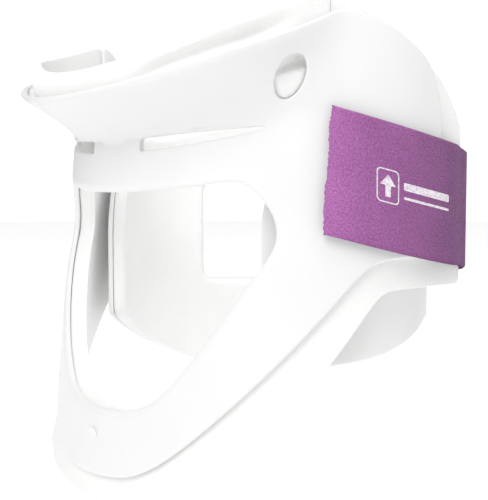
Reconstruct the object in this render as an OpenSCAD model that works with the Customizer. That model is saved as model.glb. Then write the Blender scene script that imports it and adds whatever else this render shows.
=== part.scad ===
// Rigid wrap-around cervical collar with a chin support.
// The front half is a formed plastic shell lined with foam. Its chin flange is a
// brim that stays joined to the throat band by a tongue between two slots.
// The back panel is riveted inside the right wing, runs behind the neck and tucks
// inside the left wing, where one hook-and-loop strap holds it closed.
// Origin: neck axis at the level of the lowest edge. +Z up, chin towards -Y,
// the wearer's left towards +X. Round the collar, an angle of 0 is the chin,
// 90 the wearer's left, 180 the nape and 270 the wearer's right.

/* [Plan of the front half] */
// Half width over the plastic shell
half_w = 80; // [78:1:84]
// Depth of the front curve, from the neck axis to the throat band
front_d = 62; // [60:1:66]
// How far the shell's wings run back behind the neck axis
shell_back = 7.5; // [6:0.5:9]
// How far the foam liner runs back behind the neck axis
liner_back = 20; // [18:0.5:21]
// Thickness of the front shell
shell_t = 2.4; // [2:0.1:2.6]
// Thickness of the front foam liner
foam_t = 6; // [5:0.1:6]

/* [Front half heights] */
// Height of the brim's edge at the chin
brim_z = 132; // [130:1:134]
// Height of the wings at their highest
wing_z = 157; // [154:0.5:159]
// How far the brim stands out from the throat band
brim_out = 20; // [16:1:22]
// How far the throat shell leans out at its lower edge
lean_out = 9; // [6:0.5:10]
// Further flare of the bib at its lower edge
bib_flare = 4; // [2:0.5:5]
// Height of the shell's lower edge at the front
shell_low = 8.5; // [6:0.5:10]
// Height of the shell's lower edge under the strap
shell_side_low = 81.5; // [80:0.5:83]
// Height of the liner's lower edge under the strap
liner_side_low = 72; // [70:0.5:73]

/* [Throat window] */
// Angle from the middle of the window to either end
window_half = 47; // [46:0.5:47]
// Height of the window's lower edge at the middle
window_low = 29.5; // [28:0.5:32]
// Height of the window's upper edge at the middle
window_high = 101; // [99:0.5:102]

/* [Back panel] */
// Half width over the back panel's outer face
back_half_w = 69; // [68:0.5:69]
// Depth of the back panel's rear curve, from the neck axis to the nape
back_d = 52; // [50:1:54]
// Thickness of the back panel's plastic
back_t = 2; // [1.8:0.1:2.2]
// Thickness of the back panel's foam
back_foam_t = 5; // [4:0.1:5]
// Angle at the middle of the web between the two rear windows
web_at = 206; // [204:1:208]
// Angle covered by each rear window
back_window = 34; // [30:1:34]
// Angle covered by the web between the rear windows
web = 12; // [10:1:14]

/* [Strap] */
// Width of the hook-and-loop strap
strap_w = 38; // [36:1:40]
// Thickness of the strap's woven face
strap_t = 1.4; // [1:0.1:1.6]
// Thickness of the hook tape under the strap
hook_t = 0.7; // [0.5:0.1:0.7]
// Angle of the strap's free end
strap_tip = 58.5; // [56:0.5:62]
// Height of the strap's middle at its free end
strap_tip_z = 108; // [106:0.5:110]
// Drop of the strap for each millimetre towards the back
strap_drop = 0.18; // [0.1:0.01:0.22]
// Drop of the strap for each millimetre outwards, round the front of the wing
strap_lean = 0.22; // [0.1:0.01:0.26]

/* [Hidden] */
$fn = 48;

// Gap between two pieces that lie on each other in one body
skin = 0.1;
// Gap between the front half's sheet and the foam glued inside it
glue_gap = 0.4;
// Gap between two curved faces that move apart
air = 0.35;
// Run of the straight wing, in millimetres, for each degree past 90
run = 1.3;
// Face of the liner that lies against the shell
liner_out = -(shell_t + glue_gap);
// Outer face of the chin pad, a little further in because the brim curves more
pad_out = liner_out - 0.3;
// The pad's thickness in the chin flange
pad_t = 5;
// Where the back panel's sheet bends open: the wing's rear edge on the right
bend_y = liner_back + 0.5;
bend_at = 360 - acos(-bend_y / back_d);
// First and last angle of the back panel, from the free end to the riveted end
free_end = 42;
fixed_end = 311;

// Smooth versions of max, min and a step
function smax(a, b, k) = (a + b + sqrt((a - b) * (a - b) + k * k)) / 2;
function smin(a, b, k) = (a + b - sqrt((a - b) * (a - b) + k * k)) / 2;
function unit(v) = min(1, max(0, v));
function ease(v) = let (u = unit(v)) u * u * (3 - 2 * u);
function mix(a, b, f) = a + (b - a) * f;
function square_of(v) = v * v;

// ---- A curved sheet -------------------------------------------------------
// outer and inner are grids of points, row by row. gone(r, c) is true where the
// cell above row r and after column c is cut away.
function cell(grid, gone, r, c) =
    r >= 0 && c >= 0 && r < len(grid) - 1 && c < len(grid[0]) - 1 && !gone(r, c);

function wall(p, q, n) = [[p, p + n, q + n], [p, q + n, q]];

module sheet(outer, inner, gone = function (r, c) false) {
    rows = len(outer);
    cols = len(outer[0]);
    n = rows * cols;
    at = function (r, c) r * cols + c;
    faces = [for (r = [0 : rows - 2], c = [0 : cols - 2]) if (cell(outer, gone, r, c))
        let (a = at(r, c), b = at(r, c + 1), d = at(r + 1, c + 1), e = at(r + 1, c))
        each concat(
            [[a, d, b], [a, e, d]],
            [[a + n, b + n, d + n], [a + n, d + n, e + n]],
            cell(outer, gone, r - 1, c) ? [] : wall(b, a, n),
            cell(outer, gone, r, c + 1) ? [] : wall(d, b, n),
            cell(outer, gone, r + 1, c) ? [] : wall(e, d, n),
            cell(outer, gone, r, c - 1) ? [] : wall(a, e, n))];
    polyhedron(points = concat([for (row = outer) each row], [for (row = inner) each row]),
               faces = faces, convexity = 8);
}

// ---- Front half: plan and form --------------------------------------------
// A point of the front half's plan, off outside the shell's outer face.
function front_plan(t, off) = abs(t) <= 90
    ? [(half_w + off) * sin(t), -(front_d + off) * cos(t)]
    : [sign(t) * (half_w + off), (abs(t) - 90) * run];

// Angles where each slot starts, beside the tongue, and ends
slot_from = 10;
slot_to = 44;
// Lower edge of each slot, and the fold above it where the brim starts
function slot_low(t) = 113.8 + 6.4 * square_of(t / 45);
function slot_high(t) = 117 + 0.12 * abs(t);
// Upper edge of each slot, which narrows towards its outer end
function slot_top(t) = slot_high(t) - 1.5 * unit((abs(t) - slot_from) / (slot_to - slot_from));

// Upper edge of the shell: the brim at the front, rising into the wings
function rear_corner(t) = 0.35 * square_of(max(0, abs(t) - 90));
function shell_high(t) =
    smin(brim_z + 0.0062 * t * t,
         wing_z - 0.0105 * square_of(max(0, abs(t) - 52)), 3) - rear_corner(t);

// Lower edges fall from the wings to the bib in a straight slope with soft ends
function slope(t, z_mid, rate) = z_mid + rate * (abs(t) - 43);
function shell_bottom(t) =
    smin(smax(slope(t, 44.5, 1.33), shell_low, 10), shell_side_low, 6) + rear_corner(t) / 3.5;
function liner_bottom(t) =
    smin(smax(slope(t, 25.8, 1.42), 0, 8), liner_side_low, 4) - 0.35;

// Throat window
function window_bottom(t) = smax(window_low - 0.4, 48 + 1.85 * (abs(t) - 26.8), 13) - 0.6;
function window_top(t) =
    window_high + 3.4 * square_of(min(abs(t), 38) / 35) - 0.105 * square_of(max(0, abs(t) - 36));

// How far the form stands outside the plain plan at an angle and a height
function brim_at(t) = brim_out * (1 - ease((abs(t) - 35) / 30));
function brim_rise(t, z) =
    unit((z - slot_high(t) + 2) / (shell_high(min(62, abs(t))) - slot_high(t) + 1));
function lean_at(t, z) = (1 - ease((abs(t) - 40) / 45)) *
    (lean_out * unit((124 - z) / 115) + bib_flare * square_of(unit((40 - z) / 31)));
function form(t, z) =
    brim_at(t) * pow(unit((brim_rise(t, z) - 0.12) / 0.83), 1.3) + lean_at(t, z);

function front_point(t, z, off) = let (p = front_plan(t, off + form(t, z))) [p.x, p.y, z];

// Rows of the front grid at one angle, bottom to top. Past the window's end they
// spread evenly over the wing.
function front_rows(t, low, high, a, b, c, d) = let (
    w = ease((abs(t) - window_half) / 20),
    at = function (z, f) mix(z, mix(low, high, f), w),
    za = at(a, 0.30), zb = at(b, 0.42), zc = at(c, 0.62), zd = at(d, 0.68))
    [low, mix(low, za, 0.5), za, zb, mix(zb, zc, 0.5), zc, zd,
     mix(zd, high, 0.2), mix(zd, high, 0.4), mix(zd, high, 0.6), mix(zd, high, 0.8), high];

// Angles of the front grid's columns
half_columns = concat([for (t = [0 : 5 : 40]) t], [44, window_half, 51, 55.5, 60]);
function mirrored(list) =
    concat([for (i = [len(list) - 1 : -1 : 1]) -list[i]], list);
function front_columns(back) = mirrored(concat(half_columns,
    [for (t = [65 : 5 : 90]) t], [for (f = [0.5, 0.8, 1]) 90 + f * back / run]));

module front_sheet(columns, rows, off, thick, gone) {
    grid = [for (t = columns) rows(t)];
    layer = function (depth) [for (r = [0 : len(grid[0]) - 1])
        [for (c = [0 : len(columns) - 1]) front_point(columns[c], grid[c][r], depth)]];
    sheet(layer(off), layer(off - thick), gone);
}

// ---- Front half: pieces ---------------------------------------------------
// Rows of the front grid below the window's and the slots' cut cells
window_row = 2;
slot_row = 5;
// Angle where the chin pad ends and the liner runs up to the brim
pad_reach = 60;

module side_hole(side) {
    hole_at = 50;
    hole_z = 134.6;
    hole_tilt = 30;
    hole_r = 4.2;
    hole_long = 2.6;
    p = front_point(side * hole_at, hole_z, 0);
    translate(p) rotate([0, 0, side * (hole_at + 6)]) rotate([90, side * hole_tilt, 0])
        hull() for (z = [-1, 1]) translate([0, z * hole_long, -9])
            cylinder(r = hole_r, h = 24, $fn = 24);
}

module front_shell() {
    columns = front_columns(shell_back);
    rows = function (t) let (k = min(abs(t), window_half))
        front_rows(t, shell_bottom(t), shell_high(t),
                   window_bottom(k), window_top(k), slot_low(k), slot_top(k));
    inside = function (c, a, b) let (m = abs(columns[c] + columns[c + 1]) / 2) m > a && m < b;
    color("white") difference() {
        front_sheet(columns, rows, 0, shell_t, function (r, c)
            (r == window_row && inside(c, 0, window_half)) ||
            (r == slot_row && inside(c, slot_from, slot_to)));
        for (side = [-1, 1]) side_hole(side);
    }
}

// The liner's window is cut a little larger than the shell's
window_back = 1.5;
// The liner stops below the slots; the chin pad takes over above them
liner_stop = 112;

// Past the shell's rear edge the liner's top rounds down to the liner's own edge
function liner_high(t) = let (back = max(0, abs(t) - 90) * run)
    back > 0 ? shell_high(90) - 1.2 - 0.047 * square_of(back)
    : max(wing_z + 3 - 0.021 * square_of(max(0, abs(t) - 54)), shell_high(t) - 1.2);

module front_liner() {
    columns = front_columns(liner_back);
    rows = function (t) let (k = min(abs(t), window_half))
        front_rows(t, liner_bottom(t), liner_high(t),
                   window_bottom(k) - window_back, window_top(k) + window_back,
                   liner_stop, liner_stop + 6);
    color("whitesmoke")
        front_sheet(columns, rows, liner_out, foam_t, function (r, c)
            let (m = abs(columns[c] + columns[c + 1]) / 2)
            (r == window_row && m < window_half) || (r >= slot_row && m < pad_reach));
}

// Upper edge of the pad's outer face
function pad_high(t) = smin(brim_z + 3.8 + 0.0078 * t * t, wing_z + 3, 4);
// The pad is cut square to the brim, so its inner face ends higher
function pad_cut(t) = 4.5 * (1 - ease((abs(t) - 30) / 25));

module chin_pad() {
    columns = mirrored([for (t = [0 : 6 : pad_reach]) min(t, pad_reach - 0.2)]);
    rows = function (t, lift) let (low = slot_high(min(abs(t), window_half)) + 1.5)
        [for (f = [0 : 0.2 : 1]) mix(low, pad_high(t) + lift * pad_cut(t), f)];
    layer = function (depth, lift) [for (r = [0 : 5])
        [for (t = columns) front_point(t, rows(t, lift)[r], depth)]];
    color("whitesmoke") sheet(layer(pad_out, 0), layer(pad_out - pad_t, 1));
}

// A dome-headed rivet lying along -Y, its head's seat at the origin
module rivet(head_r, head_h, shank_r, shank_l) {
    rotate([90, 0, 0]) rotate_extrude()
        polygon([[0, -shank_l], [shank_r, -shank_l], [shank_r, 0], [head_r, 0],
                 [head_r * 0.92, head_h * 0.55], [head_r * 0.6, head_h * 0.92], [0, head_h]]);
}

module washer(outer_r, inner_r, h) {
    rotate([90, 0, 0]) difference() {
        cylinder(r = outer_r, h = h);
        translate([0, 0, -1]) cylinder(r = inner_r, h = h + 2);
    }
}

bib_rivet_z = 21;
module bib_rivet() {
    color("white") translate(front_point(0, bib_rivet_z, -0.2)) rotate([7, 0, 0])
        rivet(2.6, 0.5, 1.4, 4);
}

// ---- Strap path -----------------------------------------------------------
// The strap runs over the left wing, bends round its rear edge and comes down on
// the back panel. Along it: height of its middle line.
tip_y = front_plan(strap_tip, 0).y;
tip_x = front_plan(strap_tip, 0).x;
function strap_mid(p) = strap_tip_z - strap_drop * (p.y - tip_y)
    - strap_lean * ((p.y < 0 ? p.x : max(p.x, half_w) + max(0, half_w - p.x) * 0.5) - tip_x);
function band_row(points, up) = [for (p = points) [p.x, p.y, strap_mid(p) + up]];

// The free end is square to the sloping strap, so its lower corner leads
tip_slant = 1.4;
// Past the shell's rear edge the strap lies down on the foam
flap_end_y = liner_back + 1.5;
sink = 4;
function wing_path(from, to_y, off) = concat(
    [for (i = [0 : 6]) front_plan(mix(from, 90, i / 6), off)],
    [for (y = [shell_back, mix(shell_back, flap_end_y, 0.5), flap_end_y])
        if (y <= to_y) [half_w + off - sink * ease((y - shell_back) / (liner_back - shell_back)), y]]);

// A point of a band's edge, moved out to follow the wing's lean at its height
function on_wing(p, up) = let (z = strap_mid(p) + up, t = atan2(p.x / half_w, -p.y / front_d))
    p.y >= 0 ? [p.x, p.y, z] : [p.x + lean_at(t, z) * sin(t), p.y - lean_at(t, z) * cos(t), z];

module band(from, to_y, half, off, thick) {
    layer = function (depth) [for (side = [-1, 1])
        [for (p = wing_path(from + side * tip_slant, to_y, depth)) on_wing(p, side * half)]];
    sheet(layer(off + thick), layer(off));
}

hook_off = 1 + air;
strap_off = hook_off + hook_t + 0.15;

module loop_patch() {
    color("white") band(strap_tip + 5, 0, strap_w / 2 - 3, 0.25, 0.7);
}

module hook_tape() {
    color("gainsboro") band(strap_tip + 1, shell_back, strap_w / 2 - 0.4, hook_off, hook_t);
}

module strap() {
    color("mediumorchid") band(strap_tip, flap_end_y, strap_w / 2, strap_off, strap_t);
}

// ---- Back panel -----------------------------------------------------------
function back_plan(u, off) = [(back_half_w + off) * sin(u),
    -((cos(u) > 0 ? front_d - (half_w - back_half_w) : back_d) + off) * cos(u)];

// Edges: shoulder humps on both sides, a dip between them, rounded free end
hump_at = 113;
function back_low(u) = (u < hump_at
    ? 46.5 + 12 * square_of(max(0, u - 50) / 63)
    : 41.5 + 17 * cos((u - hump_at) * 1.56)) + 0.09 * square_of(max(0, 60 - u));
function back_high(u) = 124 + 8 * ease((u - 90) / 60) - 8 * ease((u - 225) / 50)
    - 0.09 * square_of(max(0, 60 - u)) - 0.055 * square_of(max(0, u - 285));
back_window_low = 63;
back_window_high = 105;
back_corner = 7;

module back_sheet(columns, off, thick) {
    first = web_at - web / 2 - back_window;
    last = web_at + web / 2 + back_window;
    rows = function (u) let (low = back_low(u), high = back_high(u), corner = corner_cut(u),
        share = function (z, least, most) mix(low, high,
            min(most, max(least, (z - low) / (high - low)))),
        sill = share(back_window_low + corner, 0.15, 0.6),
        head = share(back_window_high - corner, 0.65, 0.9))
        [low, mix(low, sill, 0.5), sill, mix(sill, head, 0.5), head, mix(head, high, 0.5), high];
    grid = [for (u = columns) rows(u)];
    layer = function (depth) [for (r = [0 : len(grid[0]) - 1])
        [for (c = [0 : len(columns) - 1]) let (p = back_plan(columns[c], depth))
            [p.x, p.y, grid[c][r]]]];
    sheet(layer(off), layer(off - thick), function (r, c)
        let (m = (columns[c] + columns[c + 1]) / 2, from_web = abs(m - web_at))
        (r == 2 || r == 3) && from_web > web / 2 && from_web < web / 2 + back_window);
}

// How far a rear window's edge draws in near its ends, as a quarter circle
deg_per_mm = 0.9;
function corner_cut(u) = let (
    inset = min(abs(u - web_at) - web / 2, web / 2 + back_window - abs(u - web_at)),
    far = unit(1 - inset / (back_corner * deg_per_mm)))
    inset < 0 ? 0 : back_corner * (1 - sqrt(1 - far * far));

function window_columns(from) =
    let (c = back_corner * deg_per_mm)
    concat([for (f = [0, 0.35, 1]) from + c * f],
           [for (f = [0.33, 0.67]) mix(from + c, from + back_window - c, f)],
           [for (f = [1, 0.35, 0]) from + back_window - c * f]);

moving_columns = concat(
    [for (u = [free_end : 6 : 60]) u], [for (u = [66 : 8 : 154]) u],
    window_columns(web_at - web / 2 - back_window), [web_at],
    window_columns(web_at + web / 2));
fixed_columns = concat([for (u = [bend_at + 0.8 : 8 : fixed_end - 4]) u], [fixed_end]);

back_foam_out = -(back_t + skin);

module back_shell() {
    color("white") back_sheet(moving_columns, 0, back_t);
}
module back_liner() {
    color("whitesmoke") back_sheet(moving_columns, back_foam_out, back_foam_t);
}
module right_overlap_shell() {
    color("white") back_sheet(fixed_columns, 0, back_t);
}
module right_overlap_liner() {
    color("whitesmoke") back_sheet(fixed_columns, back_foam_out, back_foam_t);
}

// ---- Rivets through the right wing ----------------------------------------
side_rivet_z = [88, 112];
side_rivet_y = -4;
// How far the heads' flat seats sink into the shell's curved face
seat = 0.35;
// How far the washers stand inside the sheet's curved inner face
washer_gap = 0.3;

module side_rivets() {
    x = seat - half_w * sqrt(1 - square_of(side_rivet_y / front_d));
    color("gainsboro") for (z = side_rivet_z)
        translate([x, side_rivet_y, z]) rotate([0, 0, -90])
            rivet(5, 1.6, 1.6, half_w - back_half_w + back_t + 0.2);
}

module side_washers() {
    h = 0.9;
    x = h + washer_gap - (back_half_w - back_t - skin);
    color("gainsboro") for (z = side_rivet_z)
        translate([x, side_rivet_y, z]) rotate([0, 0, -90]) washer(4.5, 1.7, h);
}

// ---- Strap's fixed end on the back panel ----------------------------------
tab_from = 119;
tab_to = 137;
function tab_path(off) = concat(
    [[half_w + off + strap_off - sink - 0.35, flap_end_y + 1.3],
     [half_w - 5.5, flap_end_y + 2.4 + off]],
    [for (i = [0 : 5]) back_plan(mix(tab_from, tab_to, i / 5), skin + off)]);

module strap_tab() {
    layer = function (off) [for (side = [-1, 1]) band_row(tab_path(off), side * strap_w / 2)];
    color("mediumorchid") sheet(layer(strap_t), layer(0));
}

strap_rivet_u = 130;
strap_rivet_gap = 18;

module at_strap_rivets(off) {
    p = back_plan(strap_rivet_u, off);
    mid = strap_mid(p);
    for (dz = [-0.5, 0.5])
        translate([p.x, p.y, mid + dz * strap_rivet_gap]) rotate([0, 0, 135]) children();
}

module strap_rivets() {
    color("gainsboro") at_strap_rivets(skin + strap_t - 0.15) rivet(4.5, 1.5, 1.5, strap_t + back_t + 1);
}

module strap_washers() {
    color("gainsboro") at_strap_rivets(-back_t - skin) translate([0, 0.9, 0]) washer(4, 1.6, 0.8);
}

front_shell();
front_liner();
chin_pad();
bib_rivet();
loop_patch();
side_rivets();
side_washers();
right_overlap_shell();
right_overlap_liner();
back_shell();
back_liner();
strap_tab();
strap_rivets();
strap_washers();
strap();
hook_tape();
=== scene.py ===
import math

import bpy
import numpy as np
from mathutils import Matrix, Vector
from mathutils.geometry import delaunay_2d_cdt


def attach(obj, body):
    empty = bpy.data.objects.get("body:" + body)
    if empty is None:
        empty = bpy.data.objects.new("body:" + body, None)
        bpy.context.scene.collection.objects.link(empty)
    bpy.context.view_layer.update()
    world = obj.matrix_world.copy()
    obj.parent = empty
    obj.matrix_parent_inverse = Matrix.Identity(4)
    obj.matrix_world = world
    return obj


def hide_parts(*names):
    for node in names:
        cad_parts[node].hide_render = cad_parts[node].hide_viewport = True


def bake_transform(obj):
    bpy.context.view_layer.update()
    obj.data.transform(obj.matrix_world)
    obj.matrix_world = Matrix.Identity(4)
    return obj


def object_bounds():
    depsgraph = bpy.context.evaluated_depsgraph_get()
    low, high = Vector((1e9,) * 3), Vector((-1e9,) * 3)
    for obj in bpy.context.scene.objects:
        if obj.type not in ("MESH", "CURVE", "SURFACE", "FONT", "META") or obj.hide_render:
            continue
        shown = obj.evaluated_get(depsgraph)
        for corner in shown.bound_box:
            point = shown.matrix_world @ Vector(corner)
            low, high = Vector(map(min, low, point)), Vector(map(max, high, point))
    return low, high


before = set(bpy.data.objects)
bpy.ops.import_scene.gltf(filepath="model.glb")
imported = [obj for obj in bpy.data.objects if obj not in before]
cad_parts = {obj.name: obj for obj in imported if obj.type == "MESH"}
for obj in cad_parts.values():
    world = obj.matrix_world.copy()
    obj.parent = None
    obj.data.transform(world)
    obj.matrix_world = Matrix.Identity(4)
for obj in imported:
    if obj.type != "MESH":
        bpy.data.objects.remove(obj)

MM = 0.001
cad_lo, cad_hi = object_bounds()
scene = bpy.context.scene
scene.view_settings.view_transform = "Standard"
rng = np.random.default_rng(7)

# ---------------------------------------------------------------- camera
LENS = 66.3                       # mm, on a sensor 36 mm wide
AZIMUTH, ELEVATION, DISTANCE = 50.2, 3.9, 338.8 * MM
AIM_SIDE, AIM_UP = -4.9 * MM, 79.2 * MM
az, el = math.radians(AZIMUTH), math.radians(ELEVATION)
back_dir = Vector((math.sin(az) * math.cos(el), -math.cos(az) * math.cos(el), math.sin(el)))
aim = Vector((AIM_SIDE * math.cos(az), AIM_SIDE * math.sin(az), AIM_UP))
cam_data = bpy.data.cameras.new("view_camera")
cam_data.sensor_fit = "HORIZONTAL"
cam_data.sensor_width = 36.0
cam_data.lens = LENS
cam_data.clip_start, cam_data.clip_end = 0.01, 50.0
camera = bpy.data.objects.new("view_camera", cam_data)
scene.collection.objects.link(camera)
camera.location = aim + back_dir * DISTANCE
camera.rotation_mode = "QUATERNION"
camera.rotation_quaternion = (-back_dir).to_track_quat("-Z", "Y")
scene.camera = camera

# ---------------------------------------------------------------- form of the collar, in mm
# The sizes are the CAD's. t and u are angles round the neck in degrees: 0 is the chin, 90
# the wearer's left and 180 the nape. On the front half t also runs from 0 to the right as
# a negative angle, and past 90 it goes on along the straight wing.
HALF_W, FRONT_D, BACK_W, BACK_D = 80.0, 62.0, 69.0, 52.0
SHELL_T, FOAM_T, PAD_T, BACK_T, BACK_FOAM_T = 2.4, 6.0, 5.0, 2.0, 5.0
SKIN = 0.1
RUN = 1.3                         # mm of straight wing for each unit past 90
SHELL_BACK, LINER_BACK = 7.5, 20.0
BRIM_Z, WING_Z, BRIM_OUT, LEAN_OUT, BIB_FLARE = 132.0, 157.0, 20.0, 9.0, 4.0
WINDOW_HALF = 47.0
SLOT_FROM, SLOT_TO = 10.0, 44.0   # ends of each slot beside the brim's tongue, in degrees
REAR_LOW, REAR_HIGH = 63.0, 105.0  # heights of the rear windows' edges
SIDE_HOLE_T, SIDE_HOLE_Z = 50.0, 134.6
FREE_END, FIXED_END, BEND_Y = 42.0, 311.0, 20.5
STRAP_W, STRAP_T, HOOK_T, AIR = 38.0, 1.4, 0.7, 0.35
STRAP_TIP, STRAP_TIP_Z, STRAP_DROP, STRAP_LEAN = 58.5, 108.0, 0.18, 0.22
SINK = 4.0


def smax(a, b, k):
    return (a + b + np.sqrt((a - b) ** 2 + k * k)) / 2


def smin(a, b, k):
    return (a + b - np.sqrt((a - b) ** 2 + k * k)) / 2


def unit(v):
    return np.clip(v, 0.0, 1.0)


def ease(v):
    u = unit(v)
    return u * u * (3 - 2 * u)


def over(v, start):
    return np.maximum(0.0, v - start)


def slot_low(t):
    return 113.8 + 6.4 * (t / 45) ** 2


def slot_high(t):
    return 117 + 0.12 * np.abs(t)


def slot_top(t):
    return slot_high(t) - 1.5 * unit((np.abs(t) - SLOT_FROM) / (SLOT_TO - SLOT_FROM))


def rear_corner(t):
    return 0.35 * over(np.abs(t), 90) ** 2


def shell_high(t):
    return smin(BRIM_Z + 0.0062 * t * t, WING_Z - 0.0105 * over(np.abs(t), 52) ** 2, 3) \
        - rear_corner(t)


def slope(t, z_mid, rate):
    return z_mid + rate * (np.abs(t) - 43)


def shell_bottom(t):
    return smin(smax(slope(t, 44.5, 1.33), 8.5, 10), 81.5, 6) + rear_corner(t) / 3.5


def liner_bottom(t):
    return smin(smax(slope(t, 25.8, 1.42), 0, 8), 72, 4) - 0.35


def window_bottom(t):
    return smax(29.1, 48 + 1.85 * (np.abs(t) - 26.8), 13) - 0.6


def window_top(t):
    return 101 + 3.4 * (np.minimum(np.abs(t), 38) / 35) ** 2 - 0.105 * over(np.abs(t), 36) ** 2


def lean_at(t, z):
    return (1 - ease((np.abs(t) - 40) / 45)) * (
        LEAN_OUT * unit((124 - z) / 115) + BIB_FLARE * unit((40 - z) / 31) ** 2)


def form(t, z):
    top = shell_high(np.minimum(62, np.abs(t)))
    rise = unit((z - slot_high(t) + 2) / (top - slot_high(t) + 1))
    brim = BRIM_OUT * (1 - ease((np.abs(t) - 35) / 30))
    return brim * unit(smin((rise - 0.12) / 0.83, 1.0, 0.06)) ** 1.3 + lean_at(t, z)


def front_surf(t, z, off):
    """Point of the front half, off mm outside the shell's outer face."""
    past = np.abs(t) > 90
    a = np.radians(np.where(past, 90 * np.sign(t), t))
    o = off + form(t, z)
    x = np.where(past, np.sign(t) * (HALF_W + off), (HALF_W + o) * np.sin(a))
    y = np.where(past, over(np.abs(t), 90) * RUN, -(FRONT_D + o) * np.cos(a))
    return np.stack([x, y, z + 0 * x], -1)


def back_surf(u, z, off):
    a = np.radians(u)
    depth = np.where(np.cos(a) > 0, FRONT_D - (HALF_W - BACK_W), BACK_D)
    return np.stack([(BACK_W + off) * np.sin(a), -(depth + off) * np.cos(a), z + 0 * a], -1)


def back_low(u):
    return np.where(u < 113, 46.5 + 12 * (over(u, 50) / 63) ** 2,
                    41.5 + 17 * np.cos(np.radians((u - 113) * 1.56))) \
        + 0.09 * np.maximum(0, 60 - u) ** 2


def back_high(u):
    return 124 + 8 * ease((u - 90) / 60) - 8 * ease((u - 225) / 50) \
        - 0.09 * np.maximum(0, 60 - u) ** 2 - 0.055 * over(u, 285) ** 2


def liner_high(t):
    back = over(np.abs(t), 90) * RUN
    ahead = np.maximum(WING_Z + 3 - 0.021 * over(np.abs(t), 54) ** 2, shell_high(t) - 1.2)
    return np.where(back > 0, shell_high(90.0) - 1.2 - 0.047 * back ** 2, ahead)


def pad_high(t):
    return smin(BRIM_Z + 3.8 + 0.0078 * t * t, WING_Z + 3, 4)


# ---------------------------------------------------------------- sheets cut from a surface
def resample(points, step):
    """Points step apart along a closed loop, measured in mm-like units of the plane."""
    p = np.asarray(points, float)
    q = np.vstack([p, p[:1]])
    seg = np.hypot(*np.diff(q, axis=0).T)
    at = np.concatenate([[0], np.cumsum(seg)])
    n = max(8, int(round(at[-1] / step)))
    s = np.linspace(0, at[-1], n, endpoint=False)
    return np.stack([np.interp(s, at, q[:, 0]), np.interp(s, at, q[:, 1])], 1)


def round_corners(points, radius, step):
    """A closed polygon of short steps with its corners softened over about radius mm."""
    p = resample(points, step)
    n = max(1, int(radius / step))
    for _ in range(3):
        k = np.ones(n * 2 + 1) / (n * 2 + 1)
        ext = np.vstack([p[-n:], p, p[:n]])
        p = np.stack([np.convolve(ext[:, i], k, "valid") for i in (0, 1)], 1)
    return resample(p, step)


def inside(loops, q):
    """Even-odd test of points q against closed loops."""
    hit = np.zeros(len(q), bool)
    for lp in loops:
        a, b = lp, np.roll(lp, -1, axis=0)
        for i in range(0, len(q), 4000):
            x, y = q[i:i + 4000, 0:1], q[i:i + 4000, 1:2]
            cross = (a[:, 1] > y) != (b[:, 1] > y)
            with np.errstate(divide="ignore", invalid="ignore"):
                xi = a[:, 0] + (y - a[:, 1]) * (b[:, 0] - a[:, 0]) / (b[:, 1] - a[:, 1])
            hit[i:i + 4000] ^= (np.sum(cross & (x < xi), axis=1) % 2).astype(bool)
    return hit


def frame_at(surf, q, scale, off):
    """Position, tangents and outward unit normal at plane points q."""
    t, z = q[:, 0] / scale, q[:, 1]
    h = 0.02
    p = surf(t, z, off)
    du = (surf(t + h / scale, z, off) - surf(t - h / scale, z, off)) / (2 * h)
    dz = (surf(t, z + h, off) - surf(t, z - h, off)) / (2 * h)
    n = np.cross(du, dz)
    n /= np.linalg.norm(n, axis=1, keepdims=True)
    return p, du, dz, n


def step_in(surf, loop, scale, off, distance):
    """The loop moved distance mm into the material, measured on the surface."""
    p, du, dz, n = frame_at(surf, loop, scale, off)
    tangent = np.roll(p, -1, axis=0) - np.roll(p, 1, axis=0)
    tangent -= n * np.sum(tangent * n, axis=1, keepdims=True)
    tangent /= np.maximum(1e-9, np.linalg.norm(tangent, axis=1, keepdims=True))
    m = np.cross(n, tangent)                       # to the left of travel
    a, b, c = (np.sum(du * du, 1), np.sum(du * dz, 1), np.sum(dz * dz, 1))
    e, f = np.sum(du * m, 1), np.sum(dz * m, 1)
    det = a * c - b * b
    return loop + distance * np.stack([(c * e - b * f) / det, (a * f - b * e) / det], 1)


def edge_profile(outer, inner, thick):
    """(inset, depth) from the outer face round the edge to the inner face.
    outer and inner are (inset, depth) of the rounding on each side."""
    prof = []
    for k in range(7):
        a = math.pi / 2 * k / 6
        prof.append((outer[0] * (1 - math.sin(a)), outer[1] * (1 - math.cos(a))))
    for k in range(5):
        a = math.pi / 2 * k / 4
        prof.append((inner[0] * (1 - math.cos(a)), thick - inner[1] * (1 - math.sin(a))))
    return prof


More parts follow.
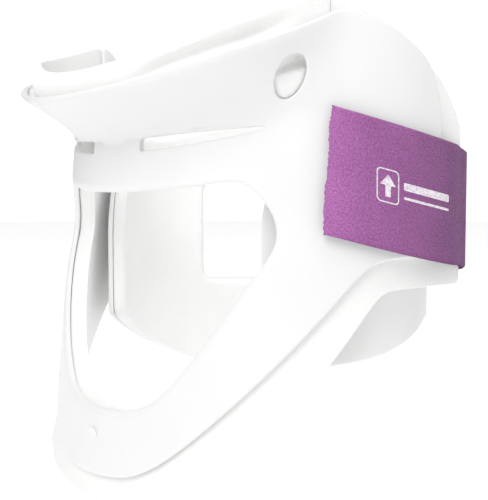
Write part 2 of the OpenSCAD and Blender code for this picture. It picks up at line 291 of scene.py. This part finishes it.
def cut_sheet(name, surf, loops, scale, off, thick, outers, inner=(0.6, 0.6), grid=2.0,
              push=None, lift=None):
    """A closed sheet. loops: the first is the outline and the rest are holes. outers: (inset,
    depth) of each loop's outer rounding. push(t, z, share) moves a point outwards and
    lift(t, z, share) moves it up, where share is 0 on the outer face and 1 on the inner."""
    pos, nor, faces, uvs = [], [], [], []
    profiles = [edge_profile(o, inner, thick) for o in outers]

    def placed(q, depth):
        t, z = q[:, 0] / scale, q[:, 1]
        share = depth / thick
        if lift is not None:
            z = z + lift(t, z, share)
        out = off - depth
        if push is not None:
            out = out + push(t, z, share)
        return surf(t, z, out)

    def normals(q, depth):
        # Wide steps on the inner face soften the brim's fold there
        h = 0.06 if depth == 0 else 1.3
        du = placed(q + [h, 0], depth) - placed(q - [h, 0], depth)
        dz = placed(q + [0, h], depth) - placed(q - [0, h], depth)
        return np.cross(du, dz)

    def area(lp):
        x, y = lp[:, 0], lp[:, 1]
        return np.sum(x * np.roll(y, -1) - np.roll(x, -1) * y) / 2

    fixed = []
    for i, lp in enumerate(loops):
        lp = np.asarray(lp, float)
        want = 1 if i == 0 else -1
        fixed.append(lp if area(lp) * want > 0 else lp[::-1].copy())

    def add(p, n, q):
        start = len(pos)
        pos.extend(p)
        nor.extend(n)
        uvs.extend(q)
        return start

    def face_of(loops_in, depth, flip):
        """Triangulated face inside the given loops, at a depth."""
        lo, hi = np.min(loops_in[0], axis=0), np.max(loops_in[0], axis=0)
        xs = np.arange(lo[0] + grid / 2, hi[0], grid)
        ys = np.arange(lo[1] + grid / 2, hi[1], grid * 0.866)
        pts = np.array([(x + (grid / 2 if j % 2 else 0), y)
                        for j, y in enumerate(ys) for x in xs])
        pts = pts[inside(loops_in, pts)]
        edge = np.vstack(loops_in)
        keep = np.ones(len(pts), bool)
        for i in range(0, len(pts), 1000):
            d = np.min(np.linalg.norm(pts[i:i + 1000, None] - edge[None], axis=2), axis=1)
            keep[i:i + 1000] = d > grid * 0.55
        q = np.vstack([edge, pts[keep]])
        edges, at = [], 0
        for lp in loops_in:
            n = len(lp)
            edges += [(at + k, at + (k + 1) % n) for k in range(n)]
            at += n
        out = delaunay_2d_cdt([Vector(v) for v in q], edges, [], 0, 1e-7)
        v2 = np.array([tuple(v) for v in out[0]])
        tris = np.array(out[2])
        if len(v2) != len(q):
            raise RuntimeError(name + ": the cut lines cross")
        order = np.array([o[0] for o in out[3]])
        tris = order[tris[inside(loops_in, v2[tris].mean(axis=1))]]
        n = normals(q, depth)
        start = add(placed(q, depth), -n if flip else n, q)
        faces.extend((tris[:, ::-1] if flip else tris) + start)
        return start

    first = [step_in(surf, lp, scale, off, pr[0][0]) for lp, pr in zip(fixed, profiles)]
    last = [step_in(surf, lp, scale, off, pr[-1][0]) for lp, pr in zip(fixed, profiles)]
    top = face_of(first, 0.0, False)
    bottom = face_of(last, thick, True)
    at = 0
    for lp, pr in zip(fixed, profiles):
        n_pts = len(lp)
        flat = [step_in(surf, lp, scale, off, inset) for inset, _ in pr]
        rings = [placed(q, depth) for q, (_, depth) in zip(flat, pr)]
        rows = [top + at]
        for r in range(1, len(pr) - 1):
            down = rings[r + 1] - rings[r - 1]
            along_loop = np.roll(rings[r], -1, axis=0) - np.roll(rings[r], 1, axis=0)
            rows.append(add(rings[r], np.cross(down, along_loop), flat[r]))
        rows.append(bottom + at)
        k = np.arange(n_pts)
        k2 = (k + 1) % n_pts
        for a, b in zip(rows[:-1], rows[1:]):
            faces.extend(np.stack([a + k, b + k, b + k2, a + k2], 1))
        at += n_pts
    return make_mesh(name, np.array(pos), faces, np.array(nor), np.array(uvs))


def make_mesh(name, pos, faces, normals=None, uvs=None):
    me = bpy.data.meshes.new(name)
    me.from_pydata([tuple(p * MM) for p in np.asarray(pos, float)], [],
                   [tuple(int(i) for i in f) for f in faces])
    me.validate()
    me.polygons.foreach_set("use_smooth", np.ones(len(me.polygons), bool))
    if uvs is not None:
        layer = me.uv_layers.new(name="flat")
        idx = np.zeros(len(me.loops), np.int32)
        me.loops.foreach_get("vertex_index", idx)
        layer.data.foreach_set("uv", (np.asarray(uvs, float)[idx] / 100).astype(np.float32).ravel())
    if normals is not None:
        n = normals / np.maximum(1e-9, np.linalg.norm(normals, axis=1, keepdims=True))
        me.normals_split_custom_set_from_vertices([tuple(v) for v in n])
    ob = bpy.data.objects.new(name, me)
    scene.collection.objects.link(ob)
    return ob


# ---------------------------------------------------------------- materials
def material(name):
    m = bpy.data.materials.new(name)
    m.use_nodes = True
    m.node_tree.nodes.clear()
    out = m.node_tree.nodes.new("ShaderNodeOutputMaterial")
    bsdf = m.node_tree.nodes.new("ShaderNodeBsdfPrincipled")
    m.node_tree.links.new(bsdf.outputs[0], out.inputs[0])
    return m, m.node_tree.nodes, m.node_tree.links, bsdf


def node(nodes, kind, **values):
    n = nodes.new("ShaderNode" + kind)
    for key, v in values.items():
        if key in n.inputs:
            n.inputs[key].default_value = v
        else:
            setattr(n, key, v)
    return n


def where(nodes, uv=False):
    return nodes.new("ShaderNodeTexCoord").outputs["UV" if uv else "Object"]


def ramp(nodes, links, fac, stops):
    r = nodes.new("ShaderNodeValToRGB")
    e = r.color_ramp.elements
    while len(e) < len(stops):
        e.new(0.5)
    for el_, (at, c) in zip(e, stops):
        el_.position = at
        el_.color = (*c, 1)
    links.new(fac, r.inputs[0])
    return r.outputs[0]


def bump(nodes, links, height, strength, distance, normal=None):
    b = nodes.new("ShaderNodeBump")
    b.inputs["Strength"].default_value = strength
    b.inputs["Distance"].default_value = distance
    links.new(height, b.inputs["Height"])
    if normal is not None:
        links.new(normal, b.inputs["Normal"])
    return b.outputs[0]


def plastic_material(name, light, dark, rough):
    """Moulded sheet: smooth gloss with slow waviness and a faint haze in its colour."""
    m, nodes, links, bsdf = material(name)
    co = where(nodes)
    slow = node(nodes, "TexNoise", Scale=22.0, Detail=2.0)
    haze = node(nodes, "TexNoise", Scale=45.0, Detail=2.0, Roughness=0.5)
    for t in (slow, haze):
        links.new(co, t.inputs["Vector"])
    links.new(ramp(nodes, links, haze.outputs[0], [(0.3, dark), (0.7, light)]),
              bsdf.inputs["Base Color"])
    bsdf.inputs["Roughness"].default_value = rough
    links.new(bump(nodes, links, slow.outputs[0], 0.35, 0.00096), bsdf.inputs["Normal"])
    bsdf.inputs["IOR"].default_value = 1.5
    bsdf.inputs["Specular IOR Level"].default_value = 0.42
    bsdf.inputs["Subsurface Weight"].default_value = 0.12
    bsdf.inputs["Subsurface Radius"].default_value = (0.004, 0.004, 0.0038)
    bsdf.inputs["Subsurface Scale"].default_value = 0.6
    return m


def foam_material(name, light, dark):
    """Closed-cell foam: cells under half a millimetre wide among wider pores, soft and matt."""
    m, nodes, links, bsdf = material(name)
    co = where(nodes)
    cells = node(nodes, "TexVoronoi", Scale=2300.0)
    pores = node(nodes, "TexVoronoi", Scale=900.0)
    soft = node(nodes, "TexNoise", Scale=55.0, Detail=4.0)
    for t in (cells, pores, soft):
        links.new(co, t.inputs["Vector"])
    links.new(ramp(nodes, links, soft.outputs[0], [(0.3, dark), (0.7, light)]),
              bsdf.inputs["Base Color"])
    bsdf.inputs["Roughness"].default_value = 0.85
    bsdf.inputs["Specular IOR Level"].default_value = 0.22
    bsdf.inputs["Subsurface Weight"].default_value = 0.25
    bsdf.inputs["Subsurface Radius"].default_value = (0.006, 0.006, 0.0055)
    bsdf.inputs["Subsurface Scale"].default_value = 0.6
    b1 = bump(nodes, links, soft.outputs[0], 0.25, 0.0006)
    b2 = bump(nodes, links, pores.outputs["Distance"], 0.22, 0.00025, b1)
    b3 = bump(nodes, links, cells.outputs["Distance"], 0.35, 0.00016, b2)
    links.new(b3, bsdf.inputs["Normal"])
    return m


def loop_cloth_material(name, light, mid, dark, fade):
    """Brushed loop tape: short pile in fine rows, lighter where it is rubbed up, with painted shade
    multiplied in along the band's length by the fade ramp.
    """
    m, nodes, links, bsdf = material(name)
    uv = where(nodes, uv=True)
    pile = node(nodes, "TexNoise", Scale=170.0, Detail=5.0, Roughness=0.7)
    tuft = node(nodes, "TexVoronoi", Scale=120.0)
    rub = node(nodes, "TexNoise", Scale=9.0, Detail=3.0)
    rows = node(nodes, "TexWave", Scale=38.0, Distortion=3.0)
    rows.inputs["Detail"].default_value = 3.0
    rows.bands_direction = "Y"
    for t in (pile, tuft, rub, rows):
        links.new(uv, t.inputs["Vector"])
    mix = node(nodes, "Mix", data_type="RGBA")
    links.new(ramp(nodes, links, pile.outputs[0], [(0.32, dark), (0.5, mid), (0.68, light)]),
              mix.inputs[6])
    links.new(ramp(nodes, links, rub.outputs[0], [(0.35, mid), (0.7, light)]), mix.inputs[7])
    mix.inputs[0].default_value = 0.2
    # Painted shade: the fade ramp along the band's length multiplies the colour, darker away from
    # the free end.
    painted_shade = node(nodes, "Mix", data_type="RGBA", blend_type="MULTIPLY")
    painted_shade.inputs[0].default_value = 1.0
    along = nodes.new("ShaderNodeSeparateXYZ")
    links.new(uv, along.inputs[0])
    links.new(mix.outputs[2], painted_shade.inputs[6])
    links.new(ramp(nodes, links, along.outputs[0], fade), painted_shade.inputs[7])
    links.new(painted_shade.outputs[2], bsdf.inputs["Base Color"])
    bsdf.inputs["Roughness"].default_value = 0.92
    bsdf.inputs["Specular IOR Level"].default_value = 0.15
    bsdf.inputs["Sheen Weight"].default_value = 0.2
    bsdf.inputs["Sheen Roughness"].default_value = 0.45
    bsdf.inputs["Sheen Tint"].default_value = (0.95, 0.72, 0.95, 1)
    b1 = bump(nodes, links, rows.outputs[0], 0.12, 0.0002)
    b2 = bump(nodes, links, tuft.outputs["Distance"], 0.6, 0.0005, b1)
    b3 = bump(nodes, links, pile.outputs[0], 0.8, 0.0006, b2)
    links.new(b3, bsdf.inputs["Normal"])
    return m


SHELL_MAT = plastic_material("shell_gloss", (0.855, 0.855, 0.852), (0.835, 0.835, 0.831), 0.30)
FOAM_MAT = foam_material("foam_fine", (0.91, 0.91, 0.905), (0.89, 0.89, 0.882))
RIVET_MAT = plastic_material("rivet_nylon", (0.90, 0.90, 0.89), (0.86, 0.86, 0.85), 0.35)
# The strap's fade stops are painted shade: the strap darkens from white at its free end to 0.44
# about 46 mm along.
STRAP_MAT = loop_cloth_material("strap_loop", (0.66, 0.25, 0.63), (0.44, 0.155, 0.42),
                                (0.23, 0.075, 0.22),
                                [(0.02, (1, 1, 1)), (0.12, (0.80, 0.80, 0.80)),
                                 (0.26, (0.68, 0.68, 0.69)), (0.46, (0.44, 0.47, 0.46))])
WEB_MAT = loop_cloth_material("loop_white", (0.92, 0.92, 0.92), (0.84, 0.84, 0.84),
                              (0.74, 0.74, 0.75), [(0.0, (1, 1, 1)), (1.0, (1, 1, 1))])


def hook_material():
    """Moulded hooks in rows on a woven base."""
    m, nodes, links, bsdf = material("hook_rows")
    uv = where(nodes, uv=True)
    a = node(nodes, "TexWave", Scale=55.0)
    b = node(nodes, "TexWave", Scale=45.0)
    b.bands_direction = "Y"
    links.new(uv, a.inputs["Vector"])
    links.new(uv, b.inputs["Vector"])
    both = node(nodes, "Math", operation="MULTIPLY")
    links.new(a.outputs[1], both.inputs[0])
    links.new(b.outputs[1], both.inputs[1])
    links.new(ramp(nodes, links, both.outputs[0],
                   [(0.1, (0.55, 0.55, 0.57)), (0.7, (0.80, 0.80, 0.82))]),
              bsdf.inputs["Base Color"])
    bsdf.inputs["Roughness"].default_value = 0.5
    links.new(bump(nodes, links, both.outputs[0], 0.9, 0.0005), bsdf.inputs["Normal"])
    return m


HOOK_MAT = hook_material()


def finish_piece(ob, mat, slot, *replaced):
    ob.data.materials.clear()
    ob.data.materials.append(mat)
    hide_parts(*replaced)
    return ob


# ---------------------------------------------------------------- front shell
KX = 1.34                                      # mm in the flat plane for one degree
T_SHELL = 90 + SHELL_BACK / RUN
T_LINER = 90 + LINER_BACK / RUN


def outline(low, high, t0, t1, step=1.0, corner=1.5):
    t = np.arange(t0, t1 + 1e-6, 0.4)
    t[-1] = t1
    up_hi, up_lo = high(t), low(t)
    pts = np.vstack([np.stack([t * KX, up_lo], 1), np.stack([t * KX, up_hi], 1)[::-1]])
    return round_corners(pts, corner, step)


def window_loop(grow=0.0):
    end = WINDOW_HALF + grow / KX
    t = np.linspace(-end, end, 240)
    k = np.clip(t, -WINDOW_HALF, WINDOW_HALF)
    lo, hi = window_bottom(k) - grow, window_top(k) + grow
    return round_corners(np.vstack([np.stack([t * KX, lo], 1),
                                    np.stack([t * KX, hi], 1)[::-1]]), 3.0, 0.9)


def slot_loop(side):
    t = np.linspace(SLOT_FROM, SLOT_TO, 120)
    pts = np.vstack([np.stack([t * KX, slot_low(t)], 1),
                     np.stack([t * KX, slot_top(t)], 1)[::-1]])
    pts[:, 0] *= side
    return round_corners(pts, 0.8, 0.3)


OVAL_RX, OVAL_RZ, OVAL_TILT = 4.2, 6.8, 30.0


def oval_loop(side):
    a = np.linspace(0, 2 * math.pi, 56, endpoint=False)
    tilt = math.radians(OVAL_TILT * side)
    ex, ez = OVAL_RX * np.cos(a), OVAL_RZ * np.sin(a)
    x = ex * math.cos(tilt) + ez * math.sin(tilt)
    zz = -ex * math.sin(tilt) + ez * math.cos(tilt)
    return np.stack([side * SIDE_HOLE_T * KX + x, SIDE_HOLE_Z + zz], 1)


shell_outline = outline(shell_bottom, shell_high, -T_SHELL, T_SHELL)
shell_loops = [shell_outline, window_loop(), slot_loop(1), slot_loop(-1),
               oval_loop(1), oval_loop(-1)]
front_shell = cut_sheet("front_shell_plastic", front_surf, shell_loops, KX, 0.0, SHELL_T,
                        [(1.1, 0.9), (3.0, 1.3), (0.7, 0.7), (0.7, 0.7), (0.8, 0.6), (0.8, 0.6)],
                        inner=(0.5, 0.5), grid=1.7)
finish_piece(front_shell, SHELL_MAT, "shell", "front_shell")
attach(front_shell, "front")

# ---------------------------------------------------------------- foam in the front half
LINER_OFF = -(SHELL_T + SKIN)
LINER_STOP = 112.0
PAD_END = 59.93


def liner_outline():
    """Foam sheet: full height on the wings, cut off below the slots under the chin."""
    seam = PAD_END + 0.07
    t = np.concatenate([np.arange(-T_LINER, T_LINER, 0.4), [T_LINER, seam, seam - 1e-3,
                                                            -seam, 1e-3 - seam]])
    t.sort()
    hi = np.where(np.abs(t) < seam - 5e-4, LINER_STOP, liner_high(t))
    pts = np.vstack([np.stack([t * KX, liner_bottom(t)], 1), np.stack([t * KX, hi], 1)[::-1]])
    return round_corners(pts, 0.42, 0.8)


front_liner = cut_sheet("front_foam_liner", front_surf,
                        [liner_outline(), window_loop(grow=1.5)], KX, LINER_OFF, FOAM_T,
                        [(0.3, 0.3), (0.9, 0.9)], inner=(0.35, 0.35), grid=2.3)
finish_piece(front_liner, FOAM_MAT, "foam", "front_liner")
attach(front_liner, "front")


def pad_low(t):
    return slot_high(np.minimum(np.abs(t), WINDOW_HALF)) + 1.5


GROOVE, GROOVE_HALF, LIP = 3.5, 2.3, 0.7


def pad_push(t, z, share):
    """The pad's outer face: in under the lip along the brim, out into the low side of the
    oval holes and in behind their high side."""
    a = np.abs(t)
    fade = (1 - ease((a - 40) / 12)) * (0.1 + 0.9 * ease((a - 16) / 13))
    centre = shell_high(t) + 0.4 + 2.4 * ease((a - 17) / 12)
    groove = GROOVE * np.exp(-((z - centre) / GROOVE_HALF) ** 2)
    lip = LIP * ease((z - centre) / 3.0)
    out = (lip - groove) * fade
    dx, dz = (a - SIDE_HOLE_T) * KX, z - SIDE_HOLE_Z
    tilt = math.radians(OVAL_TILT)
    ex = (dx * math.cos(tilt) - dz * math.sin(tilt)) / OVAL_RX
    ez = (dx * math.sin(tilt) + dz * math.cos(tilt)) / OVAL_RZ
    far, height = (ex ** 2 + ez ** 2) ** 4, ez - 0.6 * ex
    bulge = np.exp(-1.2 * far) * (1.0 - 1.5 * height) \
        - 3.4 * np.exp(-0.3 * far) * ease((height - 0.15) / 0.75)
    return (out + bulge) * (1 - share)


def pad_lift(t, z, share):
    """The pad is cut square to the brim, so its inner face ends higher."""
    cut = 4.8 * (1 - ease((np.abs(t) - 30) / 25))
    return share * cut * ease((z - pad_high(t) + 9) / 9)


pad_outline = outline(pad_low, pad_high, -PAD_END, PAD_END, step=0.8, corner=0.42)
chin_pad = cut_sheet("chin_foam_pad", front_surf, [pad_outline], KX, LINER_OFF, PAD_T,
                     [(0.3, 0.3)], inner=(0.35, 0.35), grid=1.0, push=pad_push, lift=pad_lift)
finish_piece(chin_pad, FOAM_MAT, "foam", "chin_pad")
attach(chin_pad, "front")

# ---------------------------------------------------------------- back panel
KU = 1.1
WEB_AT, WEB, WINDOW_DEG = 206.0, 12.0, 34.0


def rear_window(side):
    near = WEB_AT + side * WEB / 2
    a, b = sorted((near * KU, (near + side * WINDOW_DEG) * KU))
    return round_corners([(a, REAR_LOW), (b, REAR_LOW), (b, REAR_HIGH), (a, REAR_HIGH)], 3.4, 0.8)


def back_outline(corner=2.5):
    u = np.arange(FREE_END, FIXED_END + 1e-6, 0.5)
    pts = np.vstack([np.stack([u * KU, back_low(u)], 1),
                     np.stack([u * KU, back_high(u)], 1)[::-1]])
    return round_corners(pts, corner, 1.1)


back_loops = [back_outline(), rear_window(-1), rear_window(1)]
back_shell = cut_sheet("back_panel_plastic", back_surf, back_loops, KU, 0.0, BACK_T,
                       [(0.9, 0.8), (1.2, 0.8), (1.2, 0.8)], inner=(0.4, 0.4), grid=2.3)
finish_piece(back_shell, SHELL_MAT, "shell", "back_shell", "right_overlap_shell")
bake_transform(back_shell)
back_liner = cut_sheet("back_foam_liner", back_surf,
                       [back_outline(3.6), rear_window(-1), rear_window(1)],
                       KU, -(BACK_T + SKIN), BACK_FOAM_T,
                       [(0.8, 0.8), (0.8, 0.8), (0.8, 0.8)], inner=(2.8, 2.6), grid=2.5)
finish_piece(back_liner, FOAM_MAT, "foam", "back_liner", "right_overlap_liner")
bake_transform(back_liner)

# ---------------------------------------------------------------- strap
TIP_X = HALF_W * math.sin(math.radians(STRAP_TIP))
TIP_Y = -FRONT_D * math.cos(math.radians(STRAP_TIP))
HOOK_OFF = 1.0 + AIR
STRAP_OFF = HOOK_OFF + HOOK_T + 0.15
FLAP_END_Y = LINER_BACK + 1.5


def strap_mid(p):
    past = np.maximum(p[:, 0], HALF_W) + np.maximum(0, HALF_W - p[:, 0]) * 0.5
    out = np.where(p[:, 1] < 0, p[:, 0], past) - TIP_X
    return STRAP_TIP_Z - STRAP_DROP * (p[:, 1] - TIP_Y) - STRAP_LEAN * out


def wing_curve(start, off, to_y=FLAP_END_Y):
    """Middle line of a band on the left wing, as plan points at an offset."""
    t = np.arange(start, 90.01, 0.75)
    a = np.radians(t)
    p = np.stack([(HALF_W + off) * np.sin(a), -(FRONT_D + off) * np.cos(a)], 1)
    y = np.arange(0.8, to_y + 0.01, 0.8)
    x = HALF_W + off - SINK * ease((y - SHELL_BACK) / (LINER_BACK - SHELL_BACK))
    return np.vstack([p, np.stack([x, y], 1)])


def smooth_curve(p, passes):
    for _ in range(passes):
        q = p.copy()
        q[1:-1] = (p[:-2] + 2 * p[1:-1] + p[2:]) / 4
        p = q
    return p


def even(p, step):
    seg = np.linalg.norm(np.diff(p, axis=0), axis=1)
    at = np.concatenate([[0], np.cumsum(seg)])
    n = int(round(at[-1] / step)) + 1
    s = np.linspace(0, at[-1], n)
    return np.stack([np.interp(s, at, p[:, i]) for i in range(p.shape[1])], 1)


def lean_out(p, z):
    """How far the wing leans outside its plan at plan points p and heights z."""
    t = np.degrees(np.arctan2(p[:, 0] / HALF_W, -p[:, 1] / FRONT_D))
    return np.where((p[:, 1] < 0) & (p[:, 0] > 0), lean_at(t, z), 0.0)


class Band:
    """A band of cloth standing on a plan line: place(s, v, out) gives its points, with s
    along the band from its free end, v across it and out from its inner face."""

    def __init__(self, plan, step=0.5):
        self.p = even(plan, step)
        d = np.gradient(self.p, axis=0)
        self.d = d / np.linalg.norm(d, axis=1, keepdims=True)
        self.s = np.concatenate([[0], np.cumsum(np.linalg.norm(np.diff(self.p, axis=0), axis=1))])
        self.mid = strap_mid(self.p)

    def place(self, s, v, out):
        s, v, out = np.broadcast_arrays(np.asarray(s, float), v, out)
        p = np.stack([np.interp(s, self.s, self.p[:, i]) for i in (0, 1)], 1)
        d = np.stack([np.interp(s, self.s, self.d[:, i]) for i in (0, 1)], 1)
        n = np.stack([d[:, 1], -d[:, 0]], 1)
        over_end = s - np.clip(s, 0, self.s[-1])
        z = np.interp(s, self.s, self.mid) + v
        q = p + n * (out + lean_out(p, z))[:, None] + d * over_end[:, None]
        return np.column_stack([q, z])


def ribbon(name, band, half, thick, ragged=0.0, slant=0.0):
    """A flat band of cloth with soft sides and a slightly thinner free end."""
    m = int(round(2 * half / 0.6)) + 1
    v = np.linspace(-half, half, m)
    rows = len(band.s)
    jag = ragged * (rng.random(m) - 0.5) + 0.5 * ragged * np.sin(v * 0.31 + 1.0)
    edge = np.clip((half - np.abs(v)) / (0.6 * thick), 0, 1)
    pos, uv, faces = [], [], []
    for side in (1, 0):
        for s in band.s:
            plump = thick * (0.5 + 0.5 * np.sqrt(1 - (1 - edge) ** 2)) \
                * (0.6 + 0.4 * min(1.0, s / 1.2)) ** 0.5
            out = plump if side else thick - plump
            back = (jag + slant * v / half) * max(0.0, 1 - s / 6.0)
            pos.append(band.place(s + back, v, out))
            uv.append(np.stack([np.full(m, s), v], 1))

    def at(side, i, j):
        return (0 if side else rows * m) + i * m + j
    for i in range(rows - 1):
        for j in range(m - 1):
            faces.append((at(1, i, j), at(1, i + 1, j), at(1, i + 1, j + 1), at(1, i, j + 1)))
            faces.append((at(0, i, j), at(0, i, j + 1), at(0, i + 1, j + 1), at(0, i + 1, j)))
        for j, flip in ((0, False), (m - 1, True)):
            f = (at(1, i, j), at(0, i, j), at(0, i + 1, j), at(1, i + 1, j))
            faces.append(f[::-1] if flip else f)
    for i, flip in ((0, True), (rows - 1, False)):
        for j in range(m - 1):
            f = (at(1, i, j), at(0, i, j), at(0, i, j + 1), at(1, i, j + 1))
            faces.append(f[::-1] if flip else f)
    return make_mesh(name, np.vstack(pos), faces, None, np.vstack(uv))


def printed(name, band, shapes, out, step=0.5):
    """Flat ink on a band. shapes are closed outlines in (s, v), each with its holes."""
    pos, faces = [], []
    for loops in shapes:
        loops = [resample(lp, step) for lp in loops]
        edge = np.vstack(loops)
        edges, at = [], 0
        for lp in loops:
            n = len(lp)
            edges += [(at + k, at + (k + 1) % n) for k in range(n)]
            at += n
        lo, hi = edge.min(0), edge.max(0)
        gx, gy = np.meshgrid(np.arange(lo[0] + 0.6, hi[0], 1.0),
                             np.arange(lo[1] + 0.6, hi[1], 1.0))
        pts = np.column_stack([gx.ravel(), gy.ravel()])
        if len(pts):
            near = np.min(np.linalg.norm(pts[:, None] - edge[None], axis=2), axis=1)
            pts = pts[inside(loops, pts) & (near > 0.3)]
        q = np.vstack([edge, pts]) if len(pts) else edge
        res = delaunay_2d_cdt([Vector(v) for v in q], edges, [], 0, 1e-7)
        v2, tris = np.array([tuple(v) for v in res[0]]), np.array(res[2])
        tris = tris[inside(loops, v2[tris].mean(axis=1))]
        faces.extend(tris + len(pos))
        pos.extend(band.place(v2[:, 0], v2[:, 1], out))
    return make_mesh(name, np.array(pos), faces)


TAB_FROM, TAB_TO = 119.0, 137.0
tab_u = np.radians(np.arange(TAB_FROM, TAB_TO + 0.1, 1.0))
tab_line = np.stack([(BACK_W + SKIN) * np.sin(tab_u), -(BACK_D + SKIN) * np.cos(tab_u)], 1)
flap_line = wing_curve(STRAP_TIP, STRAP_OFF)
turn_line = np.array([[HALF_W - 5.5, FLAP_END_Y + 2.4]])
whole_line = smooth_curve(even(np.vstack([flap_line, turn_line, tab_line]), 0.5), 20)
strap_band = Band(whole_line)
strap = ribbon("strap_webbing", strap_band, STRAP_W / 2, STRAP_T, ragged=0.45, slant=1.4)
finish_piece(strap, STRAP_MAT, "strap", "strap", "strap_tab")
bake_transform(strap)

hook = ribbon("hook_tape_strip", Band(wing_curve(STRAP_TIP + 0.5, HOOK_OFF, SHELL_BACK)),
              STRAP_W / 2 - 0.2, HOOK_T, slant=1.4)
finish_piece(hook, HOOK_MAT, "hook", "hook_tape")
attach(hook, "strap")
patch = ribbon("loop_patch_tape", Band(wing_curve(STRAP_TIP + 5, 0.25, 0.0)),
               STRAP_W / 2 - 3, 0.7, slant=1.4)
finish_piece(patch, WEB_MAT, "loop", "loop_patch")
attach(patch, "front")


# A plain printed sign: a rounded square with an arrow, to show which way is up, and two bars
def rounded_box(s0, s1, v0, v1, r):
    pts = []
    for cs, cv, a0 in ((s1 - r, v1 - r, 0), (s0 + r, v1 - r, 90), (s0 + r, v0 + r, 180),
                       (s1 - r, v0 + r, 270)):
        for a in np.radians(np.arange(a0, a0 + 91, 15)):
            pts.append((cs + r * math.cos(a), cv + r * math.sin(a)))
    return np.array(pts)


ARROW = np.array([(17.2, -3.2), (19.0, -3.2), (19.0, 0.2), (20.7, 0.2), (18.1, 3.4),
                  (15.5, 0.2), (17.2, 0.2)])
sign = printed("strap_sign_print", strap_band, [
    [rounded_box(14.4, 21.8, -5.0, 5.0, 1.3), rounded_box(14.8, 21.4, -4.6, 4.6, 1.0)],
    [ARROW],
    [rounded_box(23.4, 42.5, 0.0, 2.3, 0.5)],
    [rounded_box(23.4, 42.5, -2.7, -1.9, 0.3)]], STRAP_T + 0.06)


def ink_material():
    """White ink on cloth, broken up a little by the pile."""
    m, nodes, links, bsdf = material("strap_ink")
    co = where(nodes)
    n = node(nodes, "TexNoise", Scale=1500.0, Detail=4.0)
    links.new(co, n.inputs["Vector"])
    links.new(ramp(nodes, links, n.outputs[0],
                   [(0.35, (0.62, 0.52, 0.62)), (0.6, (0.86, 0.82, 0.86))]),
              bsdf.inputs["Base Color"])
    bsdf.inputs["Roughness"].default_value = 0.8
    links.new(bump(nodes, links, n.outputs[0], 0.5, 0.0002), bsdf.inputs["Normal"])
    return m


sign.data.materials.append(ink_material())
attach(sign, "strap")

for name in ("bib_rivet", "side_rivets", "side_washers", "strap_rivets", "strap_washers"):
    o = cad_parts[name]
    o.data.materials.clear()
    o.data.materials.append(RIVET_MAT)


# ---------------------------------------------------------------- floor and light
def plain(name, colour, rough, glow):
    m, _, _, bsdf = material(name)
    bsdf.inputs["Base Color"].default_value = (*colour, 1)
    bsdf.inputs["Roughness"].default_value = rough
    bsdf.inputs["Specular IOR Level"].default_value = 0.1
    bsdf.inputs["Emission Color"].default_value = (1, 1, 1, 1)
    bsdf.inputs["Emission Strength"].default_value = glow
    return m


FLOOR_Z = cad_lo.z - 0.0005


def turned(name, profile, steps=64):
    """A surface of revolution about the world's Z axis."""
    vs, fs = [], []
    n = len(profile)
    for k in range(steps):
        a = 2 * math.pi * k / steps
        vs += [(r * math.cos(a), r * math.sin(a), FLOOR_Z + h) for r, h in profile]
        m = (k + 1) % steps
        fs += [(k * n + i, m * n + i, m * n + i + 1, k * n + i + 1) for i in range(n - 1)]
    me = bpy.data.meshes.new(name)
    me.from_pydata(vs, [], fs)
    me.polygons.foreach_set("use_smooth", np.ones(len(me.polygons), bool))
    ob = bpy.data.objects.new(name, me)
    scene.collection.objects.link(ob)
    return ob


floor = turned("studio_floor", [(0.0, 0.0), (0.6, 0.0), (1.5, 0.0), (2.6, 0.0)])
floor.data.materials.append(plain("floor_white", (0.42, 0.42, 0.42), 0.9, 0.70))
backdrop = turned("studio_backdrop", [(2.55, -0.02), (2.8, 0.1), (3.0, 0.35), (3.0, 3.0)])
backdrop.data.materials.append(plain("backdrop_white", (0.2, 0.2, 0.2), 0.9, 0.97))
for rays in ("visible_diffuse", "visible_glossy", "visible_transmission", "visible_shadow"):
    setattr(backdrop, rays, False)

world = bpy.data.worlds.new("studio")
world.use_nodes = True
world.node_tree.nodes["Background"].inputs[0].default_value = (1, 1, 1, 1)
world.node_tree.nodes["Background"].inputs[1].default_value = 0.54
scene.world = world


def area_light(name, at, size, power, target=(0, 0, 0.08)):
    ld = bpy.data.lights.new(name, "AREA")
    ld.shape = "RECTANGLE"
    ld.size, ld.size_y = size
    ld.energy = power
    lo = bpy.data.objects.new(name, ld)
    scene.collection.objects.link(lo)
    lo.location = at
    lo.rotation_mode = "QUATERNION"
    lo.rotation_quaternion = (Vector(target) - Vector(at)).to_track_quat("-Z", "Y")
    return lo


area_light("key_softbox", (0.6, -1.05, 1.15), (0.9, 0.9), 11.5)
area_light("top_softbox", (0.4, 0.1, 1.7), (1.2, 1.2), 9)
